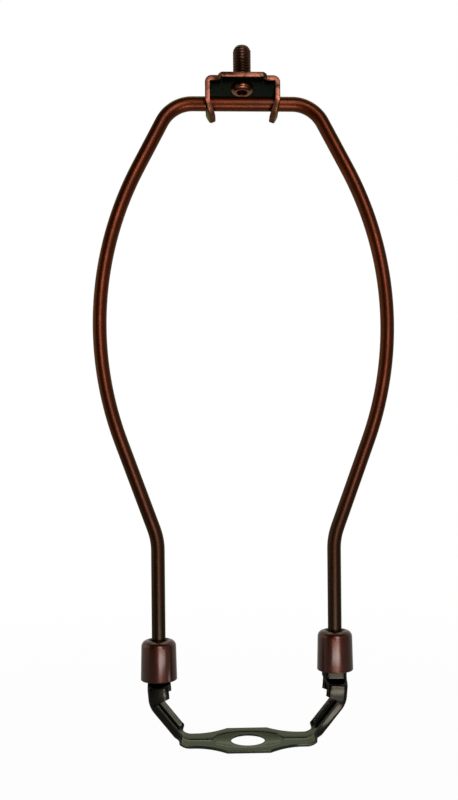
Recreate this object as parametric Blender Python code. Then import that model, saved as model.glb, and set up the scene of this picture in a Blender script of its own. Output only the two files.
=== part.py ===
"""Lamp harp: a wire bow in a pressed saddle, with two locking ferrules and a swivelling finial clip.

The origin is the centre of the saddle's hole, on its underside. +Z is up, X runs across the bow and Y through it.
Every size is in metres.
"""
import math

import bmesh
import bpy
from mathutils import Vector

MM = 0.001

# Whole harp
HARP_HEIGHT = 228.6 * MM            # saddle's underside to the clip's top face: a nine inch harp
LEG_SPACING = 61.2 * MM             # between the axes of the bow's straight legs
FIT_GAP = 0.3 * MM                  # clearance between pieces that seat on each other

# Bow: one wire, bent in its own plane
WIRE_DIAMETER = 4.76 * MM
BELLY_WIDTH = 99.9 * MM             # between wire centres at the widest point
BELLY_HEIGHT = 144.3 * MM           # of the widest point
BELLY_RADIUS = 117.0 * MM
LOWER_FLANK_ANGLE = math.radians(20.0)      # both flank angles are measured from the vertical
UPPER_FLANK_ANGLE = math.radians(28.0)
KINK_RADIUS = 22.0 * MM             # where a flank turns into the straight leg
CORNER_RADIUS = 12.0 * MM           # where a flank turns into the top bar
BAR_MARGIN = 3.0 * MM               # least straight bar outside the clip, on each side
WIRE_SIDES_RESOLUTION = 6

# Saddle: one sheet, blanked, folded and bent
SHEET = 1.0 * MM
HOLE_DIAMETER = 11.7 * MM           # clears a lampholder's threaded tube
STRAP_WIDTH = 13.4 * MM             # the flat strap on each side of the middle
MIDDLE_WIDTH = 24.4 * MM
MIDDLE_LENGTH = 14.4 * MM           # of the middle's straight edges
TAPER_END = 18.5 * MM               # from the hole's centre to where the strap's own width starts
FLAT_LENGTH = 44.3 * MM             # between the two lower bend lines
ARM_ANGLE = math.radians(51.0)
LOWER_BEND_RADIUS = 4.8 * MM        # both bend radii are of the sheet's middle line
HIP_RADIUS = 7.8 * MM
HIP_LEAN = math.radians(5.0)        # the hip leans outwards until the post turns upright
DISH_LENGTH = 25.0 * MM             # eye-shaped recess round the hole
DISH_WIDTH = 16.6 * MM
DISH_DEPTH = 0.4 * MM
GROOVE_WIDTH = 0.5 * MM             # floor of the groove along the strap's middle
GROOVE_WALL = 0.45 * MM             # width of the sloping wall of groove and dish
ARM_WIDTH = 12.8 * MM               # across the arm's two flanges
ARM_FLANGE = 2.8 * MM
ARM_FOLD_ANGLE = math.radians(80.0)  # the arm's flanges splay a little
FLANGE_RUN_IN = 3.2 * MM            # length over which the arm's flanges rise
RUN_IN_BELOW = 0.3                  # share of that length inside the lower bend
FOLD_RADIUS = 1.0 * MM              # of the sheet's middle line
HIP_FLANGE = 7.2 * MM               # flange height above the notch, before its edge curls
NOTCH_PLACE = 0.45                  # share of the hip bend below the notch
NOTCH_RISE = 0.5 * MM               # length over which the flange steps up
HIP_LENGTH = 3.2 * MM               # from the hip bend to where the channel starts to narrow to the post
SHOULDER_RISE = 2.8 * MM
POST_LIP = 1.8 * MM                 # curled free edge of post and hip, along the sheet
LIP_ANGLE = math.radians(70.0)
POST_STRAIGHT = 4.7 * MM            # flat stretch of the post's side
POST_LENGTH = 10.9 * MM             # above the shoulders

# Ferrules: drawn cups, open below
FERRULE_DIAMETER = 12.5 * MM        # at the open end
FERRULE_DRAFT = 0.25 * MM           # how much its radius shrinks up to the shoulder
FERRULE_HEIGHT = 13.8 * MM
FERRULE_WALL = 0.9 * MM
FERRULE_HOLE = 6.3 * MM
FERRULE_SHOULDER = 2.2 * MM
FERRULE_DIMPLE = 0.45 * MM          # how far the top dips towards the hole
FERRULE_LOWER_EDGE = 0.4 * MM       # rounding of the open end
RIGHT_FERRULE_LIFT = 2.5 * MM       # the right ferrule grips its post this far above its seat

# Clip: a folded strap that turns on the top bar
CLIP_WIDTH = 25.6 * MM
CLIP_SHEET = 1.8 * MM
CLIP_STRAP = 12.7 * MM
CLIP_MIDDLE_WIDTH = 15.6 * MM
CLIP_MIDDLE_LENGTH = 14.0 * MM
CLIP_SHOULDER = 1.4 * MM            # length of the step between the two widths
CLIP_STEP_ANGLE = math.radians(33.0)        # slope of that step, which raises the middle
CLIP_CORNER_RADIUS = 1.4 * MM       # of the strap's middle line
CLIP_HEADROOM = 3.1 * MM            # between the bar and the plate's underside
TIP_LEAN = math.radians(23.0)
TIP_BEND_RADIUS = 2.0 * MM
TIP_BEND_DROP = 0.9 * MM            # from the bar's axis down to the tip's bend
TIP_DROP = 5.7 * MM                 # from the bar's axis down to the tip
CLIP_EDGE = 0.25 * MM               # broken corners of the strap

# Stud: turned, pushed up through the clip's plate, with a low domed head below it
STUD_DIAMETER = 6.2 * MM
STUD_HEIGHT = 12.0 * MM             # above the clip's top face
STUD_CHAMFER = 1.1 * MM
HEAD_DIAMETER = 7.7 * MM
HEAD_HEIGHT = 1.5 * MM
HEAD_EDGE = 1.4 * MM                # rounding of the head
HEAD_BORE = 3.8 * MM
HEAD_BORE_DEPTH = 1.6 * MM
STUD_SEAT_GAP = 0.1 * MM            # round the stud and above its head

# Places that follow from the sizes above
LEG_X = LEG_SPACING / 2
CLIP_UNDERSIDE_Z = HARP_HEIGHT - CLIP_SHEET
BAR_Z = CLIP_UNDERSIDE_Z - CLIP_HEADROOM - WIRE_DIAMETER / 2
POST_WEB_X = LEG_X + WIRE_DIAMETER / 2 + FIT_GAP + SHEET / 2
POST_WIDTH = WIRE_DIAMETER + 2 * FIT_GAP + 2 * SHEET
HIP_HEADING = math.pi / 2 - HIP_LEAN
METAL_COLOURS = {
    "bow_lacquer": ((0.16, 0.095, 0.07), 0.34),
    "clip_copper": ((0.36, 0.17, 0.12), 0.36),
    "stud_bronze": ((0.17, 0.14, 0.11), 0.38),
    "saddle_bronze": ((0.13, 0.12, 0.095), 0.42),
    "ferrule_lacquer": ((0.19, 0.12, 0.09), 0.3),
}


def metal(name):
    """A lacquered metal, as a Principled material."""
    colour, roughness = METAL_COLOURS[name]
    material = bpy.data.materials.get(name) or bpy.data.materials.new(name)
    material.use_nodes = True
    shader = material.node_tree.nodes["Principled BSDF"]
    shader.inputs["Base Color"].default_value = (*colour, 1.0)
    shader.inputs["Metallic"].default_value = 0.85
    shader.inputs["Roughness"].default_value = roughness
    return material


def add_object(name, data, material_name=None):
    """Links a new object to the scene, with its material."""
    thing = bpy.data.objects.new(name, data)
    bpy.context.collection.objects.link(thing)
    if material_name:
        data.materials.append(metal(material_name))
    return thing


def polar(centre, radius, angle):
    """Point of a circle, with the angle measured from +X towards +Z."""
    return Vector((centre[0] + radius * math.cos(angle), centre[1] + radius * math.sin(angle)))


def arc(centre, radius, start, end, steps):
    """Points of an arc, both ends included."""
    return [polar(centre, radius, start + (end - start) * i / steps) for i in range(steps + 1)]


def fillet(before, vertex, after, radius, steps):
    """Points of the arc that rounds a corner of a line, tangent to both of its sides."""
    back = (before - vertex).normalized()
    ahead = (after - vertex).normalized()
    half = back.angle(ahead) / 2
    centre = vertex + (back + ahead).normalized() * radius / math.sin(half)
    tangent = radius / math.tan(half)
    start = vertex + back * tangent - centre
    end = vertex + ahead * tangent - centre
    turn = start.angle_signed(end)
    base = math.atan2(start.y, start.x)
    return arc(centre, radius, base, base - turn, steps)


def belly_centre():
    """Centre of the right belly's arc, in X and Z."""
    return Vector((BELLY_WIDTH / 2 - BELLY_RADIUS, BELLY_HEIGHT))


def top_corner(angle):
    """Where an upper flank with this lean would meet the top bar's line."""
    end = polar(belly_centre(), BELLY_RADIUS, angle)
    return Vector((end.x - (BAR_Z - end.y) * math.tan(angle), BAR_Z))


def upper_flank_angle():
    """Lean of the upper flank, less than usual where the bar would get too short for the clip."""
    angle = UPPER_FLANK_ANGLE
    while angle > 0:
        bar_half = top_corner(angle).x - CORNER_RADIUS * math.tan((math.pi / 2 - angle) / 2)
        if bar_half >= CLIP_WIDTH / 2 + BAR_MARGIN:
            break
        angle -= math.radians(0.5)
    return angle


def bow_half():
    """Centreline of the bow's right half in X and Z, from the leg's end to the middle of the top bar."""
    centre = belly_centre()
    lean = upper_flank_angle()
    lower = polar(centre, BELLY_RADIUS, -LOWER_FLANK_ANGLE)
    upper = polar(centre, BELLY_RADIUS, lean)
    foot = Vector((LEG_X, path_height(shoulder_start())))
    kink = Vector((LEG_X, lower.y - (lower.x - LEG_X) / math.tan(LOWER_FLANK_ANGLE)))
    middle = Vector((0.0, BAR_Z))
    line = [foot]
    line += fillet(foot, kink, lower, KINK_RADIUS, 5)
    line += arc(centre, BELLY_RADIUS, -LOWER_FLANK_ANGLE, lean, 14)
    line += fillet(upper, top_corner(lean), middle, CORNER_RADIUS, 9)
    return line


def make_bow():
    """The wire bow: a round section carried along its centreline."""
    half = bow_half()
    line = [Vector((-p.x, 0.0, p.y)) for p in half] + [Vector((p.x, 0.0, p.y)) for p in reversed(half)]
    curve = bpy.data.curves.new("harp_wire", "CURVE")
    curve.dimensions = "3D"
    curve.bevel_depth = WIRE_DIAMETER / 2
    curve.bevel_resolution = WIRE_SIDES_RESOLUTION
    curve.use_fill_caps = True
    spline = curve.splines.new("POLY")
    spline.points.add(len(line) - 1)
    for point, place in zip(spline.points, line):
        point.co = (*place, 1.0)
    return add_object("harp_wire", curve, "bow_lacquer")


def bent_line(stretches):
    """Points and headings of a line of straight and round stretches, each given as (length, turn, steps)."""
    at = Vector((0.0, 0.0))
    heading = 0.0
    line = [(at.copy(), heading)]
    for length, turn, steps in stretches:
        half_turn = turn / steps / 2
        chord = length / steps * (math.sin(half_turn) / half_turn if half_turn else 1.0)
        for _ in range(steps):
            heading += half_turn
            at = at + Vector((math.cos(heading), math.sin(heading))) * chord
            heading += half_turn
            line.append((at.copy(), heading))
    return line


def along(stretches, distance):
    """Point and heading at one distance along a line of stretches."""
    cut = []
    for length, turn, _ in stretches:
        part = min(length, distance)
        cut.append((part, turn * part / length, 1))
        distance -= part
        if distance <= 0:
            break
    return bent_line(cut)[-1]


def mix(a, b, share):
    """Value part of the way from a to b."""
    return a + (b - a) * share


def ease(share):
    """A share from 0 to 1 that starts and ends gently."""
    share = min(max(share, 0.0), 1.0)
    return share * share * (3 - 2 * share)


def loft(name, rings, material_name, cap_start):
    """A closed skin through rings of points, with its last ring capped, and its first ring too if wanted."""
    mesh = bmesh.new()
    loops = [[mesh.verts.new(point) for point in ring] for ring in rings]
    count = len(rings[0])
    for near, far in zip(loops, loops[1:]):
        for i in range(count):
            j = (i + 1) % count
            mesh.faces.new((near[i], far[i], far[j], near[j]))
    mesh.faces.new(loops[-1])
    if cap_start:
        mesh.faces.new(list(reversed(loops[0])))
    bmesh.ops.recalc_face_normals(mesh, faces=mesh.faces)
    data = bpy.data.meshes.new(name)
    mesh.to_mesh(data)
    mesh.free()
    data.shade_smooth()
    data.set_sharp_from_angle(angle=math.radians(35))
    return add_object(name, data, material_name)


def mirror_across_x(thing):
    """Completes an object that was modelled from its middle plane outwards."""
    mirror = thing.modifiers.new("other_half", "MIRROR")
    mirror.use_axis = (True, False, False)
    mirror.merge_threshold = 0.00001


def cut_cylinder(thing, name, radius, length, centre, direction):
    """Drills a round hole with a Boolean cutter."""
    mesh = bmesh.new()
    bmesh.ops.create_cone(mesh, cap_ends=True, segments=40, radius1=radius, radius2=radius, depth=length)
    data = bpy.data.meshes.new(name)
    mesh.to_mesh(data)
    mesh.free()
    cutter = add_object(name, data)
    cutter.location = centre
    cutter.rotation_euler = Vector(direction).to_track_quat("Z", "Y").to_euler()
    cutter.hide_render = True
    cutter.display_type = "WIRE"
    boolean = thing.modifiers.new(name, "BOOLEAN")
    boolean.operation = "DIFFERENCE"
    boolean.object = cutter
    return cutter


def arm_length():
    """Length of the arm's straight stretch, which brings the post beside the wire."""
    flat = FLAT_LENGTH / 2 - LOWER_BEND_RADIUS * math.tan(ARM_ANGLE / 2)
    lower_bend = LOWER_BEND_RADIUS * math.sin(ARM_ANGLE)
    hip_bend = HIP_RADIUS * (math.sin(HIP_HEADING) - math.sin(ARM_ANGLE))
    hip = HIP_LENGTH * math.cos(HIP_HEADING)
    shoulder = SHOULDER_RISE / HIP_LEAN * (1 - math.sin(HIP_HEADING))
    return (POST_WEB_X - flat - lower_bend - hip_bend - hip - shoulder) / math.cos(ARM_ANGLE)


def saddle_path():
    """Middle line of the saddle's sheet from the hole's centre to the post's top."""
    hip_turn = HIP_HEADING - ARM_ANGLE
    return [
        (FLAT_LENGTH / 2 - LOWER_BEND_RADIUS * math.tan(ARM_ANGLE / 2), 0.0, 1),
        (LOWER_BEND_RADIUS * ARM_ANGLE, ARM_ANGLE, 6),
        (arm_length(), 0.0, 1),
        (HIP_RADIUS * hip_turn, hip_turn, 5),
        (HIP_LENGTH, 0.0, 1),
        (SHOULDER_RISE, HIP_LEAN, 4),
        (POST_LENGTH, 0.0, 1),
    ]


def path_ends():
    """Distances along the saddle's path at which its stretches end."""
    ends = []
    for length, _, _ in saddle_path():
        ends.append(length + (ends[-1] if ends else 0.0))
    return ends


def shoulder_start():
    """Distance along the saddle's path at which the channel starts to narrow."""
    return path_ends()[4]


def path_height(distance):
    """Height of the sheet's middle line at a distance along the saddle's path."""
    return SHEET / 2 + along(saddle_path(), distance)[0].y


def middle_half_width(x):
    """Half the width of the saddle's flat at a distance from the hole, with hollow tapers."""
    straight = MIDDLE_LENGTH / 2
    if x <= straight:
        return MIDDLE_WIDTH / 2
    share = min((x - straight) / (TAPER_END - straight), 1.0)
    return mix(STRAP_WIDTH, MIDDLE_WIDTH, (1 - share) ** 2) / 2


def dish_half_width(x):
    """Half the width of the recess: an ellipse round the hole that runs out into the groove."""
    share = min(x / (DISH_LENGTH / 2), 1.0)
    return max(DISH_WIDTH / 2 * math.sqrt(1 - share ** 2), GROOVE_WIDTH / 2)


def flat_section(x):
    """Sizes of the sheet's section where it lies flat."""
    floor = dish_half_width(x)
    spare = middle_half_width(x) - floor - GROOVE_WALL
    return {
        "floor": floor, "drop": DISH_DEPTH, "web": floor + GROOVE_WALL + 0.25 * spare,
        "fold": 0.35 * spare, "fold_angle": 0.0, "flange": 0.2 * spare, "lip": 0.2 * spare, "lip_angle": 0.0,
    }


def channel_section(width, height, fold_angle, lip, lip_angle):
    """Sizes of the section where both edges are folded up; the height is over the web's outer face."""
    rise = height - SHEET / 2 - FOLD_RADIUS * (1 - math.cos(fold_angle))
    return {
        "floor": GROOVE_WIDTH / 2, "drop": 0.0, "web": width / 2 - SHEET / 2 - FOLD_RADIUS,
        "fold": FOLD_RADIUS * fold_angle, "fold_angle": fold_angle,
        "flange": rise / math.sin(fold_angle) - lip, "lip": lip, "lip_angle": lip_angle,
    }


def arm_section():
    """Section of the arm: a shallow channel."""
    return channel_section(ARM_WIDTH, ARM_FLANGE, ARM_FOLD_ANGLE, 0.3 * ARM_FLANGE, 0.0)


def hip_section():
    """Section between the notch and the shoulders, as wide as the arm and with tall flanges."""
    return channel_section(ARM_WIDTH, HIP_FLANGE, math.pi / 2, POST_LIP, LIP_ANGLE)


def post_section():
    """Section of the post, whose free edges curl round the wire."""
    height = SHEET / 2 + FOLD_RADIUS + POST_STRAIGHT + POST_LIP
    return channel_section(POST_WIDTH, height, math.pi / 2, POST_LIP, LIP_ANGLE)


def blend_sections(a, b, share):
    """A section between two others."""
    return {key: mix(a[key], b[key], share) for key in a}


def shoulder_section(share):
    """Section part of the way up the shoulders, which run smoothly into hip and post."""
    return blend_sections(hip_section(), post_section(), ease(share))


def lower_bend_section(distance):
    """Section where the strap bends up: its groove runs out and its edges start to fold."""
    flat_end, bend_end = path_ends()[:2]
    strap = flat_section(flat_end)
    groove_end = dict(strap, drop=0.0)
    bent = blend_sections(strap, groove_end, min((distance - flat_end) / (bend_end - flat_end), 1.0))
    folded = (distance - bend_end) / FLANGE_RUN_IN + RUN_IN_BELOW
    return blend_sections(bent, arm_section(), ease(folded))


def section_ring(section, place, heading):
    """Closed ring of points round the sheet's section, square to the path at one place."""
    web_start = section["floor"] + GROOVE_WALL
    half = bent_line([
        (section["floor"], 0.0, 1),
        (GROOVE_WALL, 0.0, 1),
        (section["web"] - web_start, 0.0, 1),
        (section["fold"], section["fold_angle"], 3),
        (section["flange"], 0.0, 1),
        (section["lip"], section["lip_angle"], 2),
    ])
    up = Vector((-math.sin(heading), 0.0, math.cos(heading)))
    base = Vector((place.x, 0.0, place.y + SHEET / 2))
    upper = []
    lower = []
    for i, (point, tilt) in enumerate(half):
        normal = Vector((-math.sin(tilt), math.cos(tilt)))
        top = SHEET / 2 - (section["drop"] if i < 2 else 0.0)
        upper.append(point + normal * top)
        lower.append(point - normal * SHEET / 2)
    outline = [Vector((-p.x, p.y)) for p in reversed(upper[1:])] + upper
    outline += list(reversed(lower)) + [Vector((-p.x, p.y)) for p in lower[1:]]
    return [base + up * p.y + Vector((0.0, p.x, 0.0)) for p in outline]


def saddle_stations():
    """Distances along the saddle's path, each with the section there."""
    flat_end, bend_end, hip_start, hip_end, shoulder, shoulder_end, top = path_ends()
    stations = []
    for degrees in (0, 14, 28, 42, 54, 64, 73, 80, 86, 90):
        x = DISH_LENGTH / 2 * math.sin(math.radians(degrees))
        stations.append((x, flat_section(x)))
    corner = MIDDLE_LENGTH / 2
    stations.append((corner, flat_section(corner)))
    for share in (0.25, 0.6, 1.0):
        x = mix(DISH_LENGTH / 2, TAPER_END, share)
        stations.append((x, flat_section(x)))

    run_in_end = bend_end + FLANGE_RUN_IN * (1 - RUN_IN_BELOW)
    for share in (0.0, 0.2, 0.4, 0.6, 0.8, 1.0):
        for start, end in ((flat_end, bend_end), (bend_end, run_in_end)):
            distance = mix(start, end, share)
            if distance not in (station[0] for station in stations):
                stations.append((distance, lower_bend_section(distance)))

    notch = mix(hip_start, hip_end, NOTCH_PLACE)
    for i in range(6):
        distance = mix(hip_start, hip_end, i / 5)
        if not notch < distance < notch + NOTCH_RISE:
            stations.append((distance, arm_section() if distance <= notch else hip_section()))
    stations.append((notch, arm_section()))
    stations.append((notch + NOTCH_RISE, hip_section()))
    for share in (0.0, 0.25, 0.5, 0.75, 1.0):
        stations.append((mix(shoulder, shoulder_end, share), shoulder_section(share)))
    stations.append((top, post_section()))
    return sorted(stations, key=lambda station: station[0])


def make_saddle():
    """The saddle: half of the folded sheet, completed by its mirror image and pierced."""
    path = saddle_path()
    rings = [section_ring(section, *along(path, distance)) for distance, section in saddle_stations()]
    saddle = loft("saddle", rings, "saddle_bronze", cap_start=False)
    mirror_across_x(saddle)
    cut_cylinder(saddle, "saddle_hole_cutter", HOLE_DIAMETER / 2, 10 * SHEET, (0.0, 0.0, 0.0), (0, 0, 1))
    return saddle


def turned(name, profile, material_name, steps, closed):
    """A turned piece: a profile at +X, spun round Z; its outer side runs downwards."""
    data = bpy.data.meshes.new(name)
    edges = [(i, i + 1) for i in range(len(profile) - 1)]
    if closed:
        edges.append((len(profile) - 1, 0))
    data.from_pydata([(p[0], 0.0, p[1]) for p in profile], edges, [])
    piece = add_object(name, data, material_name)
    screw = piece.modifiers.new("turn", "SCREW")
    screw.axis = "Z"
    screw.angle = 2 * math.pi
    screw.steps = steps
    screw.render_steps = steps
    screw.use_merge_vertices = True
    screw.merge_threshold = 0.00001
    screw.use_smooth_shade = True
    return piece


def ferrule_profile():
    """Closed outline of the ferrule's wall, from the crest of its rounded top down the outside."""
    radius = FERRULE_DIAMETER / 2
    centre = (radius - FERRULE_DRAFT - FERRULE_SHOULDER, FERRULE_HEIGHT - FERRULE_SHOULDER)
    edge = FERRULE_LOWER_EDGE
    hole = FERRULE_HOLE / 2
    outside = arc(centre, FERRULE_SHOULDER, math.pi / 2, 0.0, 5)
    outside += arc((radius - edge, edge), edge, 0.0, -math.pi / 2, 2)
    inside = [Vector((radius - FERRULE_WALL, 0.0))]
    inside += arc(centre, FERRULE_SHOULDER - FERRULE_WALL, 0.0, math.pi / 2, 3)
    rim_z = FERRULE_HEIGHT - FERRULE_DIMPLE
    inside += [Vector((hole, rim_z - FERRULE_WALL)), Vector((hole, rim_z))]
    return outside + inside


def ferrule_seat_z():
    """Height of a seated ferrule's lower rim: just above where the widening channel fills its bore."""
    bore = FERRULE_DIAMETER / 2 - FERRULE_WALL
    path = saddle_path()
    share = 1.0
    while share > 0:
        ring = section_ring(shoulder_section(share), *along(path, shoulder_start() + SHOULDER_RISE * share))
        if max(math.hypot(p.x - LEG_X, p.y) for p in ring) > bore:
            break
        share -= 0.01
    return max(p.z for p in ring) + FIT_GAP


def make_ferrule(name, side, lift):
    """A locking ferrule round one leg of the bow, with its origin on the leg's axis."""
    ferrule = turned(name, ferrule_profile(), "ferrule_lacquer", 36, closed=True)
    ferrule.location = (side * LEG_X, 0.0, ferrule_seat_z() + lift)
    return ferrule


def clip_path():
    """Middle line of the clip's strap from the plate's centre to a leg's tip."""
    leg_x = CLIP_WIDTH / 2 - CLIP_SHEET / 2
    step_radius = CLIP_SHOULDER / 2 / CLIP_STEP_ANGLE
    step_run = 2 * step_radius * math.sin(CLIP_STEP_ANGLE)
    step_drop = 2 * step_radius * (1 - math.cos(CLIP_STEP_ANGLE))
    plate_z = HARP_HEIGHT - CLIP_SHEET / 2 - step_drop
    bend_z = BAR_Z - TIP_BEND_DROP
    tip_z = BAR_Z - TIP_DROP
    tip_arc = TIP_BEND_RADIUS * math.sin(TIP_LEAN)
    return [
        (CLIP_MIDDLE_LENGTH / 2, 0.0, 1),
        (CLIP_SHOULDER / 2, -CLIP_STEP_ANGLE, 2),
        (CLIP_SHOULDER / 2, CLIP_STEP_ANGLE, 2),
        (leg_x - CLIP_CORNER_RADIUS - CLIP_MIDDLE_LENGTH / 2 - step_run, 0.0, 1),
        (CLIP_CORNER_RADIUS * math.pi / 2, -math.pi / 2, 6),
        (plate_z - CLIP_CORNER_RADIUS - bend_z, 0.0, 1),
        (TIP_BEND_RADIUS * TIP_LEAN, -TIP_LEAN, 3),
        ((bend_z - tip_arc - tip_z) / math.cos(TIP_LEAN), 0.0, 1),
    ]


def clip_half_width(distance, drop):
    """Half the strap's width at a distance from its middle, or in the round end below the bar."""
    middle = CLIP_MIDDLE_LENGTH / 2
    share = min(max((distance - middle) / CLIP_SHOULDER, 0.0), 1.0)
    half = mix(CLIP_MIDDLE_WIDTH, CLIP_STRAP, share) / 2
    if drop > 0:
        half *= math.sqrt(max(1 - (drop / TIP_DROP) ** 2, 0.0))
    return max(half, CLIP_SHEET)


def clip_ring(place, heading, half_width):
    """Ring round the strap's section, with broken corners."""
    up = Vector((-math.sin(heading), 0.0, math.cos(heading)))
    base = Vector((place.x, 0.0, HARP_HEIGHT - CLIP_SHEET / 2 + place.y))
    w = half_width
    t = CLIP_SHEET / 2
    e = CLIP_EDGE
    outline = [
        (-w, t - e), (-w + e, t), (w - e, t), (w, t - e),
        (w, e - t), (w - e, -t), (e - w, -t), (-w, e - t),
    ]
    return [base + up * h + Vector((0.0, v, 0.0)) for v, h in outline]


def make_clip():
    """The clip: a strap folded down at both ends, drilled for the bar and for the stud."""
    path = clip_path()
    ends = [0.0]
    for length, _, _ in path:
        ends.append(ends[-1] + length)
    _, middle, _, step, plate, corner, leg, tip_bend, tip = ends
    places = [0.0]
    places += [mix(middle, step, i / 4) for i in range(5)]
    places += [mix(plate, corner, i / 6) for i in range(7)]
    places += [leg - TIP_BEND_DROP]
    places += [mix(leg, tip_bend, i / 3) for i in range(4)]
    places += [mix(tip_bend, tip, share) for share in (0.3, 0.55, 0.75, 0.88, 0.96, 1.0)]
    rings = []
    for distance in places:
        place, heading = along(path, distance)
        drop = BAR_Z - (HARP_HEIGHT - CLIP_SHEET / 2 + place.y)
        rings.append(clip_ring(place, heading, clip_half_width(distance, drop)))
    clip = loft("finial_clip", rings, "clip_copper", cap_start=False)
    mirror_across_x(clip)
    bar_hole = WIRE_DIAMETER / 2 + FIT_GAP
    cut_cylinder(clip, "bar_hole_cutter", bar_hole, 2 * CLIP_WIDTH, (0.0, 0.0, BAR_Z), (1, 0, 0))
    stud_hole = STUD_DIAMETER / 2 + STUD_SEAT_GAP
    cut_cylinder(clip, "stud_hole_cutter", stud_hole, 4 * CLIP_SHEET, (0.0, 0.0, HARP_HEIGHT), (0, 0, 1))
    return clip


def make_stud():
    """The finial's stud, which stands up through the plate from a drilled head below it."""
    radius = STUD_DIAMETER / 2
    head = HEAD_DIAMETER / 2
    bore = HEAD_BORE / 2
    top = STUD_HEIGHT
    head_top = -CLIP_SHEET - STUD_SEAT_GAP
    head_end = head_top - HEAD_HEIGHT
    bore_end = head_end + HEAD_BORE_DEPTH
    profile = [
        (0.0, top), (radius - STUD_CHAMFER * 0.6, top), (radius, top - STUD_CHAMFER), (radius, head_top),
        (head, head_top),
    ]
    profile += arc((head - HEAD_EDGE, head_end + HEAD_EDGE), HEAD_EDGE, 0.0, -math.pi / 2, 5)
    profile += [(bore, head_end), (bore, bore_end), (0.0, bore_end + bore * 0.5)]
    stud = turned("finial_stud", profile, "stud_bronze", 36, closed=False)
    stud.location = (0.0, 0.0, HARP_HEIGHT)
    return stud


def clear_scene():
    """Removes whatever the file held before."""
    for thing in list(bpy.data.objects):
        bpy.data.objects.remove(thing, do_unlink=True)


def main():
    clear_scene()
    make_bow()
    make_saddle()
    make_ferrule("ferrule_left", -1, 0.0)
    make_ferrule("ferrule_right", 1, RIGHT_FERRULE_LIFT)
    make_clip()
    make_stud()


main()
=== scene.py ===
"""Looks of the lamp harp: every piece finely remade in antique bronze lacquer, in a white studio.

The pieces repeat the solids' own sizes, with rounded edges, smooth curves and a real thread.
All sizes are in metres.
"""
import math

import bmesh
import bpy
from mathutils import Matrix, Vector


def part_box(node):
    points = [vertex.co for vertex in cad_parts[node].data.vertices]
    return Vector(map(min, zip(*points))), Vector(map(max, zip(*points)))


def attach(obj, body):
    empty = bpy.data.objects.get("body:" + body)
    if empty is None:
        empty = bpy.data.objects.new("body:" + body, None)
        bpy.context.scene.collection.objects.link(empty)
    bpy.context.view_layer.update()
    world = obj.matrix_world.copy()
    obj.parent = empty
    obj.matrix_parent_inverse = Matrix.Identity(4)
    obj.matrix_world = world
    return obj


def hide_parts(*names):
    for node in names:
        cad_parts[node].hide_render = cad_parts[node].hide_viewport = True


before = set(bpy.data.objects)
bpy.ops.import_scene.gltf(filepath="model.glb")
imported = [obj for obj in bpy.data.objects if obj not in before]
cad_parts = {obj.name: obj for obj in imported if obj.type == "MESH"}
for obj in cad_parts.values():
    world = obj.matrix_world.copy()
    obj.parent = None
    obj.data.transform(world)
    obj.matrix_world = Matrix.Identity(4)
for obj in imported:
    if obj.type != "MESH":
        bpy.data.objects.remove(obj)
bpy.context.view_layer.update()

MM = 0.001

# Camera, read from the photograph
PHOTO_HEIGHT = 800
FOCAL_PIXELS = 782.8
AXIS_RIGHT_PIXELS = 15.0            # the optical axis from the picture's centre
AXIS_DOWN_PIXELS = 82.5
CAMERA_PLACE = Vector((-8.68, -271.7, 89.9)) * MM
CAMERA_YAW = math.radians(-1.71)
CAMERA_ROLL = math.radians(0.52)
CAMERA_NEAREST = 10 * MM
CAMERA_FARTHEST = 20.0
SENSOR_SIZE = 36.0                  # in millimetres, as Blender counts it

# Whole harp
HARP_HEIGHT = 228.6 * MM
LEG_SPACING = 61.2 * MM
FIT_GAP = 0.3 * MM

# Bow
WIRE_DIAMETER = 4.76 * MM
WIRE_END_CHAMFER = 0.4 * MM
BELLY_WIDTH = 99.9 * MM
BELLY_HEIGHT = 144.3 * MM
BELLY_RADIUS = 117.0 * MM
LOWER_FLANK_ANGLE = math.radians(20.0)
UPPER_FLANK_ANGLE = math.radians(28.0)
KINK_RADIUS = 22.0 * MM
CORNER_RADIUS = 12.0 * MM

# Saddle
SHEET = 1.0 * MM
SHEET_EDGE = 0.2 * MM               # rounding of the sheet's cut edges
HOLE_DIAMETER = 11.7 * MM
HOLE_CHAMFER = 0.15 * MM
STRAP_WIDTH = 13.4 * MM
MIDDLE_WIDTH = 24.4 * MM
MIDDLE_LENGTH = 14.4 * MM
TAPER_END = 18.5 * MM
FLAT_LENGTH = 44.3 * MM
ARM_ANGLE = math.radians(51.0)
LOWER_BEND_RADIUS = 4.8 * MM
HIP_RADIUS = 7.8 * MM
HIP_LEAN = math.radians(5.0)
DISH_LENGTH = 25.0 * MM
DISH_WIDTH = 16.6 * MM
DISH_DEPTH = 0.4 * MM
GROOVE_WIDTH = 0.5 * MM
GROOVE_WALL = 0.45 * MM
MARGIN_WEB = 0.25                   # how the margin beside the dish is shared out, before it is folded up
MARGIN_FOLD = 0.35
MARGIN_FLANGE = 0.2
MARGIN_LIP = 0.2
ARM_WIDTH = 12.8 * MM
ARM_FLANGE = 2.8 * MM
ARM_FOLD_ANGLE = math.radians(80.0)
ARM_LIP = 0.3 * ARM_FLANGE          # straight on the arm, and curled further up
FLANGE_RUN_IN = 3.2 * MM
RUN_IN_BELOW = 0.3                  # share of the run-in that lies in the lower bend
FOLD_RADIUS = 1.0 * MM
HIP_FLANGE = 7.2 * MM
NOTCH_PLACE = 0.45                  # share of the hip's bend that lies below the notch
NOTCH_RISE = 0.5 * MM
HIP_LENGTH = 3.2 * MM
SHOULDER_RISE = 2.8 * MM
POST_LIP = 1.8 * MM
LIP_ANGLE = math.radians(70.0)
POST_STRAIGHT = 4.7 * MM
POST_LENGTH = 10.9 * MM

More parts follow.
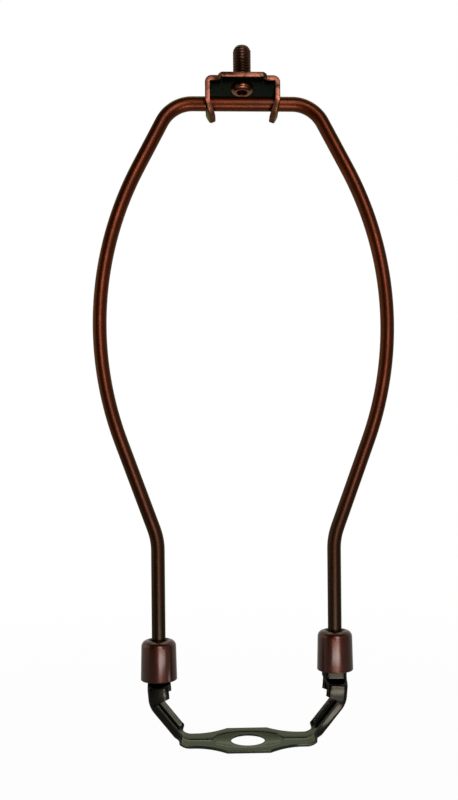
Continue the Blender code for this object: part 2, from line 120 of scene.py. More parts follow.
# Ferrules
FERRULE_DIAMETER = 12.5 * MM
FERRULE_DRAFT = 0.25 * MM
FERRULE_HEIGHT = 13.8 * MM
FERRULE_WALL = 0.9 * MM
FERRULE_HOLE = 6.3 * MM
FERRULE_SHOULDER = 2.2 * MM
FERRULE_DIMPLE = 0.45 * MM
FERRULE_LOWER_EDGE = 0.4 * MM
FERRULE_RIM_EDGE = 0.2 * MM

# Clip
CLIP_WIDTH = 25.6 * MM
CLIP_SHEET = 1.8 * MM
CLIP_STRAP = 12.7 * MM
CLIP_MIDDLE_WIDTH = 15.6 * MM
CLIP_MIDDLE_LENGTH = 14.0 * MM
CLIP_SHOULDER = 1.4 * MM
CLIP_STEP_ANGLE = math.radians(33.0)
CLIP_CORNER_RADIUS = 1.4 * MM
CLIP_HEADROOM = 3.1 * MM
CLIP_EDGE = 0.3 * MM                # rounding of the strap's corners
TIP_LEAN = math.radians(23.0)
TIP_BEND_RADIUS = 2.0 * MM
TIP_BEND_DROP = 0.9 * MM
TIP_BEND_LEAD = 0.1 * MM            # from the last straight section to the bend
TIP_DROP = 5.7 * MM
TIP_CORNER_LOSS = 0.98              # share of the corners' rounding that the tip's end takes up

# Stud
STUD_DIAMETER = 6.2 * MM
STUD_HEIGHT = 12.0 * MM
STUD_CHAMFER = 1.1 * MM
STUD_CHAMFER_SLOPE = 0.6            # radius lost for each unit of height
STUD_END_RING = 0.3                 # share of the radius at which the end face has a ring of points
STUD_SEAT_GAP = 0.1 * MM
THREAD_PITCH = 25.4 / 27 * MM
THREAD_DEPTH = 0.34 * MM
THREAD_START = 0.3 * MM             # above the clip's top face
THREAD_FLAT = 0.1                   # share of half a turn that is flat, at the root and at the crest
HEAD_DIAMETER = 7.7 * MM
HEAD_HEIGHT = 1.5 * MM
HEAD_EDGE = 1.4 * MM
HEAD_BORE = 3.8 * MM
HEAD_BORE_DEPTH = 1.6 * MM
HEAD_BORE_EDGE = 0.15 * MM
HEAD_BORE_CONE = 0.5                # depth of the drill's cone, as a share of its radius
HEAD_BORE_TIP = 0.02 * MM           # radius at which the cone ends

# Fineness of the curves, in steps
WIRE_STEPS = 36
CUP_STEPS = 96
BORE_STEPS = 64
WALL_STEPS = 5                      # down the dish's wall
FOLD_STEPS = 8
LIP_STEPS = 6
EDGE_STEPS = 4
THREAD_COLUMNS = 72
THREAD_ROWS = 12                    # for each turn
NEAREST_SECTIONS = 0.01 * MM        # sections of the saddle closer than this are one
SMOOTH_LIMIT = math.radians(35.0)   # edges sharper than this stay sharp

# Places that follow from the sizes above
LEG_X = LEG_SPACING / 2
BAR_Z = HARP_HEIGHT - CLIP_SHEET - CLIP_HEADROOM - WIRE_DIAMETER / 2
POST_WEB_X = LEG_X + WIRE_DIAMETER / 2 + FIT_GAP + SHEET / 2
POST_WIDTH = WIRE_DIAMETER + 2 * FIT_GAP + 2 * SHEET
HIP_HEADING = math.pi / 2 - HIP_LEAN

# Studio
LAMP_AIM = 110 * MM                 # height on the harp's axis that the lamps face
CARD_HEIGHT = 1 * MM
FLOOR_HALF = 3.0
FLOOR_GAP = 0.1 * MM
FLOOR_GREY = (0.15, 0.15, 0.15)
FLOOR_ROUGHNESS = 0.15
FLOOR_WHITENESS = (0.975, 1.0)      # near the harp, where the grey below takes its shadow, and far from it
FLOOR_REACH = (30 * MM, 500 * MM)   # how far out these two are found
WHITE_REACH = (-0.35, 0.45)         # Y of a direction or of the floor, from no mirrored white to all of it
ROOM_COLOUR = (1.0, 1.0, 0.9)
ROOM_STRENGTH = 0.04
WHITE = (1.0, 1.0, 1.0)

# Lacquer in general; a noise's scale is in features for each metre
SPECKLE_SCALE = 2200.0
PATCH_SCALE = 90.0
WEAR_AND_HIGHLIGHT_SCALE = 260.0
NOISE_REACH = (0.3, 0.7)            # values between which nearly all of a noise lies
PATCH_REACH = (0.38, 0.66)          # broad noise from clear lacquer to a full patch
WEAR_AND_HIGHLIGHT_REACH = (0.36, 0.5)            # noise of the rubbed spots, from lacquer to bare copper that is also a painted highlight
WEAR_AND_HIGHLIGHT_FACING = (0.55, 0.9)           # how square to Y a face is, from lacquer to bare copper, partly rubbed and partly a painted highlight
ROUGHNESS_SPREAD = (-0.04, 0.06)
COAT_ROUGHNESS = 0.2
GRAIN_DEPTH = 0.05 * MM
OLIVE_EDGE = (0.44, 0.5, 0.34)

# Finish of each material slot. Core is the lacquer's colour, patch that of its broad dark patches, and
# edge the tint of what it mirrors at a glancing angle. Low is the colour of the piece's lower end, with
# the two heights between which it gives way. The copper for faces square to Y is partly rubbed metal and
# partly a painted highlight.
FINISHES = {
    "ferrule_lacquer": {
        "core": (0.052, 0.01, 0.003),
        "patch": (0.035, 0.007, 0.002),
        "edge": OLIVE_EDGE,
        "roughness": 0.42,
        "coat": 0.55,
        "speckle": 0.2,
        "grain": 0.05,
    },
    "bow_lacquer": {
        "core": (0.076, 0.0145, 0.0035),
        "patch": (0.054, 0.01, 0.003),
        "edge": (0.46, 0.56, 0.38),
        "roughness": 0.4,
        "coat": 0.2,
        "coat_ior": 1.3,
        "speckle": 0.25,
        "grain": 0.08,
        # the darker lower legs are painted shade
        "low": ((0.02, 0.011, 0.006), 30 * MM, 150 * MM),
    },
    "saddle_bronze": {
        "core": (0.012, 0.009, 0.005),
        "patch": (0.009, 0.008, 0.004),
        "edge": (0.44, 0.48, 0.36),
        "roughness": 0.22,
        "coat": 0.24,
        "speckle": 0.3,
        "grain": 0.06,
        "low": ((0.027, 0.028, 0.018), 1 * MM, 5 * MM),
    },
    "clip_copper": {
        "core": (0.018, 0.017, 0.01),
        "patch": (0.011, 0.014, 0.008),
        "edge": (0.32, 0.38, 0.2),
        "roughness": 0.36,
        "coat": 0.04,
        "speckle": 0.25,
        "grain": 0.15,
        "low": ((0.09, 0.035, 0.02), 217 * MM, 220.5 * MM),
        # copper on the strap's faces square to Y: partly rubbed edges, partly a painted highlight
        "bared_copper_and_highlight": (0.21, 0.068, 0.04),
    },
    "stud_bronze": {
        "core": (0.06, 0.02, 0.009),
        "patch": (0.045, 0.016, 0.008),
        "edge": OLIVE_EDGE,
        "roughness": 0.36,
        "coat": 0.2,
        "speckle": 0.2,
        "grain": 0.05,
        # the bright copper head below the plate is a painted reflection
        "low": ((0.16, 0.045, 0.022), 226.6 * MM, 227 * MM),
    },
}


def mix(a, b, share):
    """Value or point part of the way from a to b."""
    return a + (b - a) * share


def clamp(share):
    """A share held between 0 and 1."""
    return min(max(share, 0.0), 1.0)


def ease(share):
    """A share from 0 to 1 that starts and ends gently."""
    share = clamp(share)
    return share * share * (3 - 2 * share)


def spread(start, end, steps):
    """Evenly spaced values or points, both ends included."""
    return [mix(start, end, i / steps) for i in range(steps + 1)]


def full_turn(steps):
    """Evenly spaced angles of a full turn, without its end."""
    return [2 * math.pi * i / steps for i in range(steps)]


def polar(centre, radius, angle):
    """Point of a circle, with the angle measured from the first axis towards the second."""
    return Vector((centre[0] + radius * math.cos(angle), centre[1] + radius * math.sin(angle)))


def arc(centre, radius, start, end, steps):
    """Points of an arc, both ends included."""
    return [polar(centre, radius, angle) for angle in spread(start, end, steps)]


def fillet(before, vertex, after, radius, steps):
    """Points of the arc that rounds a corner of a line, tangent to both of its sides."""
    back = (before - vertex).normalized()
    ahead = (after - vertex).normalized()
    half = back.angle(ahead) / 2
    centre = vertex + (back + ahead).normalized() * radius / math.sin(half)
    tangent = radius / math.tan(half)
    start = vertex + back * tangent - centre
    turn = start.angle_signed(vertex + ahead * tangent - centre)
    base = math.atan2(start.y, start.x)
    return arc(centre, radius, base, base - turn, steps)


def bent_line(stretches):
    """Points and headings of a line of straight and round stretches, each a (length, turn, steps)."""
    at = Vector((0.0, 0.0))
    heading = 0.0
    line = [(at.copy(), heading)]
    for length, turn, steps in stretches:
        half_turn = turn / steps / 2
        chord = length / steps * (math.sin(half_turn) / half_turn if half_turn else 1.0)
        for _ in range(steps):
            heading += half_turn
            at = at + Vector((math.cos(heading), math.sin(heading))) * chord
            heading += half_turn
            line.append((at.copy(), heading))
    return line


def along(stretches, distance):
    """Point and heading at one distance along a line of stretches."""
    cut = []
    for length, turn, _ in stretches:
        part = min(length, distance)
        cut.append((part, turn * part / length, 1))
        distance -= part
        if distance <= 0:
            break
    return bent_line(cut)[-1]


def ends_of(stretches):
    """Distances at which the stretches of a line end."""
    ends = []
    for length, _, _ in stretches:
        ends.append(length + (ends[-1] if ends else 0.0))
    return ends


def smooth(thing):
    """Smooth shading, except over sharp edges."""
    thing.data.shade_smooth()
    thing.data.set_sharp_from_angle(angle=SMOOTH_LIMIT)


def skin(name, rings, closed=False):
    """A closed surface through rings of points: a tube with flat ends, or a closed loop."""
    mesh = bmesh.new()
    loops = [[mesh.verts.new(point) for point in ring] for ring in rings]
    count = len(rings[0])
    pairs = list(zip(loops, loops[1:]))
    if closed:
        pairs.append((loops[-1], loops[0]))
    for near, far in pairs:
        for i in range(count):
            j = (i + 1) % count
            mesh.faces.new((near[i], far[i], far[j], near[j]))
    if not closed:
        mesh.faces.new(loops[-1])
        mesh.faces.new(list(reversed(loops[0])))
    bmesh.ops.recalc_face_normals(mesh, faces=mesh.faces)
    data = bpy.data.meshes.new(name)
    mesh.to_mesh(data)
    mesh.free()
    thing = bpy.data.objects.new(name, data)
    bpy.context.collection.objects.link(thing)
    smooth(thing)
    return thing


def with_mirror_image(rings):
    """Rings of a half, after their mirror images; the first ring lies in the middle plane."""
    mirrored = [[Vector((-p.x, p.y, p.z)) for p in ring] for ring in reversed(rings[1:])]
    return mirrored + rings


def off_axis(base, radius, angle, height):
    """Point at a radius, an angle and a height from a base on an upright axis."""
    return base + Vector((radius * math.cos(angle), radius * math.sin(angle), height))


def turned(name, profile, steps, centre=(0.0, 0.0, 0.0), closed=False):
    """A piece turned round an upright axis from an outline of radii and heights."""
    base = Vector(centre)
    rings = [[off_axis(base, radius, angle, z) for angle in full_turn(steps)] for radius, z in profile]
    return skin(name, rings, closed)


def drilled(thing, cutters):
    """The piece with the cutters' shapes taken out of it."""
    for cutter in cutters:
        boolean = thing.modifiers.new(cutter.name, "BOOLEAN")
        boolean.operation = "DIFFERENCE"
        boolean.object = cutter
    bpy.context.view_layer.update()
    cut = thing.evaluated_get(bpy.context.evaluated_depsgraph_get())
    thing.data = bpy.data.meshes.new_from_object(cut)
    thing.modifiers.clear()
    for cutter in cutters:
        bpy.data.objects.remove(cutter, do_unlink=True)
    smooth(thing)
    return thing


def bow_centreline():
    """The wire's centreline in the plane of the bow, from the right post over the bar to the left one."""
    _, _, _, _, shoulder, _, _ = ends_of(saddle_path())
    foot = Vector((LEG_X, SHEET / 2 + along(saddle_path(), shoulder)[0].y))
    belly = Vector((BELLY_WIDTH / 2 - BELLY_RADIUS, BELLY_HEIGHT))
    lower = polar(belly, BELLY_RADIUS, -LOWER_FLANK_ANGLE)
    upper = polar(belly, BELLY_RADIUS, UPPER_FLANK_ANGLE)
    kink = Vector((LEG_X, lower.y - (lower.x - LEG_X) / math.tan(LOWER_FLANK_ANGLE)))
    corner = Vector((upper.x - (BAR_Z - upper.y) * math.tan(UPPER_FLANK_ANGLE), BAR_Z))
    bar_middle = Vector((0.0, BAR_Z))
    knee = fillet(foot, kink, lower, KINK_RADIUS, steps=16)
    half = spread(foot, knee[0], steps=12)[:-1] + knee
    half += arc(belly, BELLY_RADIUS, -LOWER_FLANK_ANGLE, UPPER_FLANK_ANGLE, steps=48)
    half += fillet(upper, corner, bar_middle, CORNER_RADIUS, steps=24)
    return half + [Vector((-p.x, p.y)) for p in reversed(half)]


def wire_ring(place, ahead, radius):
    """Ring of points round the wire, square to its direction."""
    centre = Vector((place.x, 0.0, place.y))
    across = Vector((ahead.y, 0.0, -ahead.x))
    depth = Vector((0.0, 1.0, 0.0))
    return [centre + (across * math.cos(a) + depth * math.sin(a)) * radius for a in full_turn(WIRE_STEPS)]


def make_bow():
    """The wire, carried round the bow's centreline, with chamfered ends."""
    line = bow_centreline()
    radius = WIRE_DIAMETER / 2
    end_radius = radius - WIRE_END_CHAMFER
    rings = []
    for before, place, after in zip(line, line[1:], line[2:]):
        rings.append(wire_ring(place, (after - before).normalized(), radius))
    start = (line[1] - line[0]).normalized()
    end = (line[-1] - line[-2]).normalized()
    rings.insert(0, wire_ring(line[0] + start * WIRE_END_CHAMFER, start, radius))
    rings.insert(0, wire_ring(line[0], start, end_radius))
    rings.append(wire_ring(line[-1] - end * WIRE_END_CHAMFER, end, radius))
    rings.append(wire_ring(line[-1], end, end_radius))
    return skin("wire_bow", rings)


def saddle_path():
    """Middle line of the saddle's sheet from the hole's centre to the post's top."""
    flat = FLAT_LENGTH / 2 - LOWER_BEND_RADIUS * math.tan(ARM_ANGLE / 2)
    hip_turn = HIP_HEADING - ARM_ANGLE
    reach = POST_WEB_X - flat - LOWER_BEND_RADIUS * math.sin(ARM_ANGLE)
    reach -= HIP_RADIUS * (math.sin(HIP_HEADING) - math.sin(ARM_ANGLE))
    reach -= HIP_LENGTH * math.cos(HIP_HEADING)
    reach -= SHOULDER_RISE / HIP_LEAN * (1 - math.sin(HIP_HEADING))
    return [
        (flat, 0.0, 1),
        (LOWER_BEND_RADIUS * ARM_ANGLE, ARM_ANGLE, 1),
        (reach / math.cos(ARM_ANGLE), 0.0, 1),
        (HIP_RADIUS * hip_turn, hip_turn, 1),
        (HIP_LENGTH, 0.0, 1),
        (SHOULDER_RISE, HIP_LEAN, 1),
        (POST_LENGTH, 0.0, 1),
    ]


def flat_section(x):
    """Sizes of the sheet's section where it lies flat."""
    share = min(x / (DISH_LENGTH / 2), 1.0)
    floor = max(DISH_WIDTH / 2 * math.sqrt(1 - share ** 2), GROOVE_WIDTH / 2)
    taper = clamp((x - MIDDLE_LENGTH / 2) / (TAPER_END - MIDDLE_LENGTH / 2))
    half_width = mix(STRAP_WIDTH, MIDDLE_WIDTH, (1 - taper) ** 2) / 2
    margin = half_width - floor - GROOVE_WALL
    return {
        "floor": floor,
        "drop": DISH_DEPTH,
        "web": floor + GROOVE_WALL + MARGIN_WEB * margin,
        "fold": MARGIN_FOLD * margin,
        "fold_angle": 0.0,
        "flange": MARGIN_FLANGE * margin,
        "lip": MARGIN_LIP * margin,
        "lip_angle": 0.0,
    }


def channel_section(width, height, fold_angle, lip, lip_angle):
    """Sizes of the section where both edges are folded up; the height is over the web's outer face."""
    rise = height - SHEET / 2 - FOLD_RADIUS * (1 - math.cos(fold_angle))
    return {
        "floor": GROOVE_WIDTH / 2,
        "drop": 0.0,
        "web": width / 2 - SHEET / 2 - FOLD_RADIUS,
        "fold": FOLD_RADIUS * fold_angle,
        "fold_angle": fold_angle,
        "flange": rise / math.sin(fold_angle) - lip,
        "lip": lip,
        "lip_angle": lip_angle,
    }


def blend_sections(a, b, share):
    """A section between two others."""
    return {key: mix(a[key], b[key], share) for key in a}


POST_DEPTH = SHEET / 2 + FOLD_RADIUS + POST_STRAIGHT + POST_LIP
ARM_SECTION = channel_section(ARM_WIDTH, ARM_FLANGE, ARM_FOLD_ANGLE, ARM_LIP, 0.0)
HIP_SECTION = channel_section(ARM_WIDTH, HIP_FLANGE, math.pi / 2, POST_LIP, LIP_ANGLE)
POST_SECTION = channel_section(POST_WIDTH, POST_DEPTH, math.pi / 2, POST_LIP, LIP_ANGLE)


def section_ring(section, place, heading):
    """Closed ring of points round the sheet's section, square to the path, with rounded free edges."""
    half = bent_line([
        (section["floor"], 0.0, 1),
        (GROOVE_WALL, 0.0, WALL_STEPS),
        (section["web"] - section["floor"] - GROOVE_WALL, 0.0, 1),
        (section["fold"], section["fold_angle"], FOLD_STEPS),
        (section["flange"], 0.0, 1),
        (section["lip"], section["lip_angle"], LIP_STEPS),
    ])
    end, tilt = half.pop()
    ahead = Vector((math.cos(tilt), math.sin(tilt)))
    aside = Vector((-math.sin(tilt), math.cos(tilt)))
    core = end - ahead * SHEET_EDGE
    half.append((core, tilt))
    upper = []
    lower = []
    for i, (point, lean) in enumerate(half):
        normal = Vector((-math.sin(lean), math.cos(lean)))
        drop = section["drop"] * (1 - ease((i - 1) / WALL_STEPS))
        upper.append(point + normal * (SHEET / 2 - drop))
        lower.append(point - normal * SHEET / 2)
    rounding = arc((0.0, SHEET / 2 - SHEET_EDGE), SHEET_EDGE, math.pi / 2, 0.0, EDGE_STEPS)[1:]
    rounding += arc((0.0, SHEET_EDGE - SHEET / 2), SHEET_EDGE, 0.0, -math.pi / 2, EDGE_STEPS)[:-1]
    edge = [core + ahead * p.x + aside * p.y for p in rounding]
    side = upper + edge + list(reversed(lower))
    outline = side + [Vector((-p.x, p.y)) for p in reversed(side)][1:-1]
    up = Vector((-math.sin(heading), 0.0, math.cos(heading)))
    base = Vector((place.x, 0.0, place.y + SHEET / 2))
    return [base + up * p.y + Vector((0.0, p.x, 0.0)) for p in outline]


def saddle_section(distance):
    """The sheet's section at a distance from the hole's centre, along the saddle's path."""
    flat_end, bend_end, hip_start, hip_end, shoulder, shoulder_end, _ = ends_of(saddle_path())
    notch = mix(hip_start, hip_end, NOTCH_PLACE)
    if distance <= flat_end:
        return flat_section(distance)
    if distance <= notch:
        strap = flat_section(flat_end)
        level = dict(strap, drop=0.0)
        bent = blend_sections(strap, level, min((distance - flat_end) / (bend_end - flat_end), 1.0))
        return blend_sections(bent, ARM_SECTION, ease((distance - bend_end) / FLANGE_RUN_IN + RUN_IN_BELOW))
    if distance <= shoulder:
        return blend_sections(ARM_SECTION, HIP_SECTION, min((distance - notch) / NOTCH_RISE, 1.0))
    share = ease((distance - shoulder) / (shoulder_end - shoulder))
    return blend_sections(HIP_SECTION, POST_SECTION, share)


def saddle_places():
    """Distances along the saddle's path at which its section is drawn."""
    flat_end, bend_end, hip_start, hip_end, shoulder, shoulder_end, top = ends_of(saddle_path())
    notch = mix(hip_start, hip_end, NOTCH_PLACE)
    dish_end = DISH_LENGTH / 2
    # The dish's outline is an ellipse, so the sections draw together towards its end
    places = [dish_end * math.sin(math.radians(degrees)) for degrees in (*range(0, 88, 3), 88.5, 90)]
    places += [MIDDLE_LENGTH / 2, hip_start, top]
    places += spread(dish_end, TAPER_END, steps=8)
    places += spread(TAPER_END, flat_end, steps=2)
    places += spread(flat_end, bend_end, steps=16)
    places += spread(bend_end, bend_end + FLANGE_RUN_IN * (1 - RUN_IN_BELOW), steps=8)
    places += spread(hip_start, notch, steps=6)
    places += spread(notch, notch + NOTCH_RISE, steps=4)
    places += spread(notch + NOTCH_RISE, hip_end, steps=6)
    places += spread(shoulder, shoulder_end, steps=12)
    kept = []
    for place in sorted(places):
        if not kept or place - kept[-1] > NEAREST_SECTIONS:
            kept.append(place)
    return kept


def make_saddle():
    """The folded sheet, pierced with a hole that has broken edges."""
    path = saddle_path()
    half = [section_ring(saddle_section(distance), *along(path, distance)) for distance in saddle_places()]
    saddle = skin("sheet_saddle", with_mirror_image(half))
    radius = HOLE_DIAMETER / 2
    top = SHEET - DISH_DEPTH
    flare = SHEET
    cutter = turned("hole_cutter", [
        (radius + flare, HOLE_CHAMFER - flare),
        (radius, HOLE_CHAMFER),
        (radius, top - HOLE_CHAMFER),
        (radius + flare, top - HOLE_CHAMFER + flare),
    ], CUP_STEPS)
    return drilled(saddle, [cutter])


def make_ferrule(name, node, side):
    """A drawn cup round one leg: rounded shoulder, dimpled top, rolled lower edge and a plain inside."""
    radius = FERRULE_DIAMETER / 2
    centre = (radius - FERRULE_DRAFT - FERRULE_SHOULDER, FERRULE_HEIGHT - FERRULE_SHOULDER)
    edge = FERRULE_LOWER_EDGE
    rim = FERRULE_RIM_EDGE
    hole = FERRULE_HOLE / 2
    rim_z = FERRULE_HEIGHT - FERRULE_DIMPLE
    profile = arc(centre, FERRULE_SHOULDER, math.pi / 2, 0.0, steps=16)
    profile += arc((radius - edge, edge), edge, 0.0, -math.pi / 2, steps=6)
    profile += [Vector((radius - FERRULE_WALL, 0.0))]
    profile += arc(centre, FERRULE_SHOULDER - FERRULE_WALL, 0.0, math.pi / 2, steps=8)
    profile += [Vector((hole, rim_z - FERRULE_WALL))]
    profile += arc((hole + rim, rim_z - rim), rim, math.pi, math.pi / 2, EDGE_STEPS)
    for share in spread(0.0, 1.0, steps=6)[1:-1]:
        x = mix(hole + rim, centre[0], share)
        profile.append(Vector((x, mix(rim_z, FERRULE_HEIGHT, 1 - (1 - share) ** 2))))
    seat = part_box(node)[0][2]
    return turned(name, profile, CUP_STEPS, (side * LEG_X, 0.0, seat), closed=True)


def clip_path():
    """Middle line of the clip's strap from the plate's centre to a leg's tip."""
    leg_x = CLIP_WIDTH / 2 - CLIP_SHEET / 2
    step_radius = CLIP_SHOULDER / 2 / CLIP_STEP_ANGLE
    step_run = 2 * step_radius * math.sin(CLIP_STEP_ANGLE)
    step_drop = 2 * step_radius * (1 - math.cos(CLIP_STEP_ANGLE))
    plate_z = HARP_HEIGHT - CLIP_SHEET / 2 - step_drop
    bend_z = BAR_Z - TIP_BEND_DROP
    tip_z = BAR_Z - TIP_DROP
    tip_arc = TIP_BEND_RADIUS * math.sin(TIP_LEAN)
    return [
        (CLIP_MIDDLE_LENGTH / 2, 0.0, 1),
        (CLIP_SHOULDER / 2, -CLIP_STEP_ANGLE, 1),
        (CLIP_SHOULDER / 2, CLIP_STEP_ANGLE, 1),
        (leg_x - CLIP_CORNER_RADIUS - CLIP_MIDDLE_LENGTH / 2 - step_run, 0.0, 1),
        (CLIP_CORNER_RADIUS * math.pi / 2, -math.pi / 2, 1),
        (plate_z - CLIP_CORNER_RADIUS - bend_z, 0.0, 1),
        (TIP_BEND_RADIUS * TIP_LEAN, -TIP_LEAN, 1),
        ((bend_z - tip_arc - tip_z) / math.cos(TIP_LEAN), 0.0, 1),
    ]


def clip_half_width(distance, drop):
    """Half the strap's width at a distance from its middle, or in the round end below the bar."""
    share = clamp((distance - CLIP_MIDDLE_LENGTH / 2) / CLIP_SHOULDER)
    half = mix(CLIP_MIDDLE_WIDTH, CLIP_STRAP, share) / 2
    if drop > 0:
        half *= math.sqrt(max(1 - (drop / TIP_DROP) ** 2, 0.0))
    return max(half, CLIP_SHEET)


def clip_ring(place, heading, half_width, inset=0.0):
    """Ring round the strap's section, with rounded corners."""
    w = half_width - CLIP_EDGE
    t = CLIP_SHEET / 2 - CLIP_EDGE
    radius = CLIP_EDGE - inset
    outline = []
    for quarter, (x, y) in enumerate(((w, t), (-w, t), (-w, -t), (w, -t))):
        start = quarter * math.pi / 2
        outline += arc((x, y), radius, start, start + math.pi / 2, EDGE_STEPS)
    up = Vector((-math.sin(heading), 0.0, math.cos(heading)))
    base = Vector((place.x, 0.0, HARP_HEIGHT - CLIP_SHEET / 2 + place.y))
    return [base + up * p.y + Vector((0.0, p.x, 0.0)) for p in outline]


def make_clip():
    """The clip: a strap folded down at both ends, drilled for the bar and for the stud."""
    path = clip_path()
    middle, _, step, plate, corner, leg, tip_bend, tip = ends_of(path)
    quarter = math.pi / 2
    places = [0.0] + spread(middle, step, steps=12) + spread(plate, corner, steps=14)
    places += [leg - TIP_BEND_DROP] + spread(leg - TIP_BEND_LEAD, tip_bend, steps=6)
    for angle in spread(0.0, quarter, steps=10)[1:]:
        places.append(mix(tip_bend, tip - CLIP_EDGE, math.sin(angle)))
    rings = []
    for distance in places:
        place, heading = along(path, distance)
        drop = BAR_Z - (HARP_HEIGHT - CLIP_SHEET / 2 + place.y)
        rings.append(clip_ring(place, heading, clip_half_width(distance, drop)))
    for angle in spread(0.0, quarter, steps=3)[1:]:
        place, heading = along(path, tip - CLIP_EDGE * (1 - math.sin(angle)))
        inset = CLIP_EDGE * (1 - math.cos(angle)) * TIP_CORNER_LOSS
        rings.append(clip_ring(place, heading, CLIP_SHEET, inset))
    clip = skin("swivel_clip", with_mirror_image(rings))
    bar_radius = WIRE_DIAMETER / 2 + FIT_GAP
    bar_cutter = turned("bar_cutter", [(bar_radius, -CLIP_WIDTH), (bar_radius, CLIP_WIDTH)], BORE_STEPS)
    bar_cutter.rotation_euler = (0.0, quarter, 0.0)
    bar_cutter.location = (0.0, 0.0, BAR_Z)
    stud_radius = STUD_DIAMETER / 2 + STUD_SEAT_GAP
    stud_reach = 4 * CLIP_SHEET
    stud_cutter = turned("stud_cutter", [(stud_radius, -stud_reach), (stud_radius, stud_reach)], BORE_STEPS)
    stud_cutter.location = (0.0, 0.0, HARP_HEIGHT)
    return drilled(clip, [bar_cutter, stud_cutter])


def thread_depth(turns):
    """Depth of the thread below its crest, from the number of turns along it."""
    groove = abs(2 * (turns % 1.0) - 1)
    return THREAD_DEPTH * clamp((groove - THREAD_FLAT) / (1 - 2 * THREAD_FLAT))


def stud_lower_outline():
    """Radii and heights of the hollow, the domed head and the plain shank, from the clip's top face."""
    head = HEAD_DIAMETER / 2
    head_top = -CLIP_SHEET - STUD_SEAT_GAP
    head_end = head_top - HEAD_HEIGHT
    bore = HEAD_BORE / 2
    bore_end = head_end + HEAD_BORE_DEPTH
    bore_edge = (bore + HEAD_BORE_EDGE, head_end + HEAD_BORE_EDGE)
    dome = (head - HEAD_EDGE, head_end + HEAD_EDGE)
    outline = [(HEAD_BORE_TIP, bore_end + bore * HEAD_BORE_CONE), (bore, bore_end)]
    outline += arc(bore_edge, HEAD_BORE_EDGE, math.pi, 1.5 * math.pi, steps=3)
    outline += arc(dome, HEAD_EDGE, -math.pi / 2, 0.0, steps=10)
    outline += [(head, head_top), (STUD_DIAMETER / 2, head_top), (STUD_DIAMETER / 2, THREAD_START)]
    return outline


def make_stud():
    """The stud: a domed head with a drilled hollow, a plain shank in the plate, and a right-hand thread."""
    radius = STUD_DIAMETER / 2
    base = Vector((0.0, 0.0, HARP_HEIGHT))
    angles = full_turn(THREAD_COLUMNS)
    rings = [[off_axis(base, r, angle, z) for angle in angles] for r, z in stud_lower_outline()]
    rows = round((STUD_HEIGHT - THREAD_START) / (THREAD_PITCH / THREAD_ROWS))
    for z in spread(THREAD_START, STUD_HEIGHT, rows)[1:]:
        start = ease((z - THREAD_START) / THREAD_PITCH)
        chamfer = radius - max(z - STUD_HEIGHT + STUD_CHAMFER, 0.0) * STUD_CHAMFER_SLOPE
        ring = []
        for angle in angles:
            cut = radius - start * thread_depth(z / THREAD_PITCH - angle / (2 * math.pi))
            ring.append(off_axis(base, min(cut, chamfer), angle, z))
        rings.append(ring)
    rings.append([off_axis(base, radius * STUD_END_RING, angle, STUD_HEIGHT) for angle in angles])
    return skin("threaded_stud", rings)


def add_camera():
    """The camera at the photograph's place, level, with a small roll."""
    data = bpy.data.cameras.new("camera")
    data.sensor_width = SENSOR_SIZE
    data.lens = FOCAL_PIXELS / PHOTO_HEIGHT * SENSOR_SIZE
    data.shift_x = -AXIS_RIGHT_PIXELS / PHOTO_HEIGHT
    data.shift_y = AXIS_DOWN_PIXELS / PHOTO_HEIGHT
    data.clip_start = CAMERA_NEAREST
    data.clip_end = CAMERA_FARTHEST
    camera = bpy.data.objects.new("camera", data)
    bpy.context.collection.objects.link(camera)
    upright = Matrix.Rotation(math.pi / 2, 4, "X")
    camera.matrix_world = (
        Matrix.Translation(CAMERA_PLACE)
        @ Matrix.Rotation(CAMERA_YAW, 4, "Z")
        @ upright
        @ Matrix.Rotation(-CAMERA_ROLL, 4, "Z")
    )
    bpy.context.scene.camera = camera


def area_lamp(name, size, radiance, colour):
    """A rectangular lamp of even brightness that the camera doesn't see."""
    data = bpy.data.lights.new(name, "AREA")
    data.shape = "RECTANGLE"
    data.size, data.size_y = size
    data.energy = radiance * math.pi * size[0] * size[1]
    data.color = colour
    lamp = bpy.data.objects.new(name, data)
    bpy.context.collection.objects.link(lamp)
    lamp.visible_camera = False
    return lamp


def add_softbox(name, degrees, distance, height, size, radiance, colour=WHITE):
    """A soft lamp that faces the harp; its degrees are counted from the front to the right."""
    turn = math.radians(degrees)
    place = Vector((distance * math.sin(turn), -distance * math.cos(turn), height))
    lamp = area_lamp(name, size, radiance, colour)
    lamp.location = place
    lamp.rotation_euler = (Vector((0.0, 0.0, LAMP_AIM)) - place).to_track_quat("-Z", "Y").to_euler()


def add_card(name, x, y, size, radiance):
    """A bright card that lies on the floor before the harp and is mirrored in its upright faces."""
    lamp = area_lamp(name, size, radiance, WHITE)
    lamp.location = (x, y, CARD_HEIGHT)
    lamp.rotation_euler = (math.pi, 0.0, 0.0)


def add_lamps():
    """Soft lamps round the harp, and two cards that its ferrules and its right arm mirror."""
    add_softbox("key", degrees=12.0, distance=0.9, height=0.34, size=(0.34, 0.62), radiance=9.0)
    add_softbox("left", degrees=-85.0, distance=0.9, height=0.2, size=(0.8, 0.8), radiance=1.0,
                colour=(1.0, 1.0, 0.75))
    add_softbox("right", degrees=58.0, distance=0.9, height=0.35, size=(0.7, 0.6), radiance=0.5)
    add_softbox("top", degrees=170.0, distance=0.25, height=1.0, size=(0.9, 0.6), radiance=1.7)
    add_card("ferrule_card", x=0.03, y=-0.135, size=(0.105, 0.08), radiance=13.0)
    add_card("arm_card", x=0.037, y=-0.023, size=(0.014, 0.016), radiance=9.0)


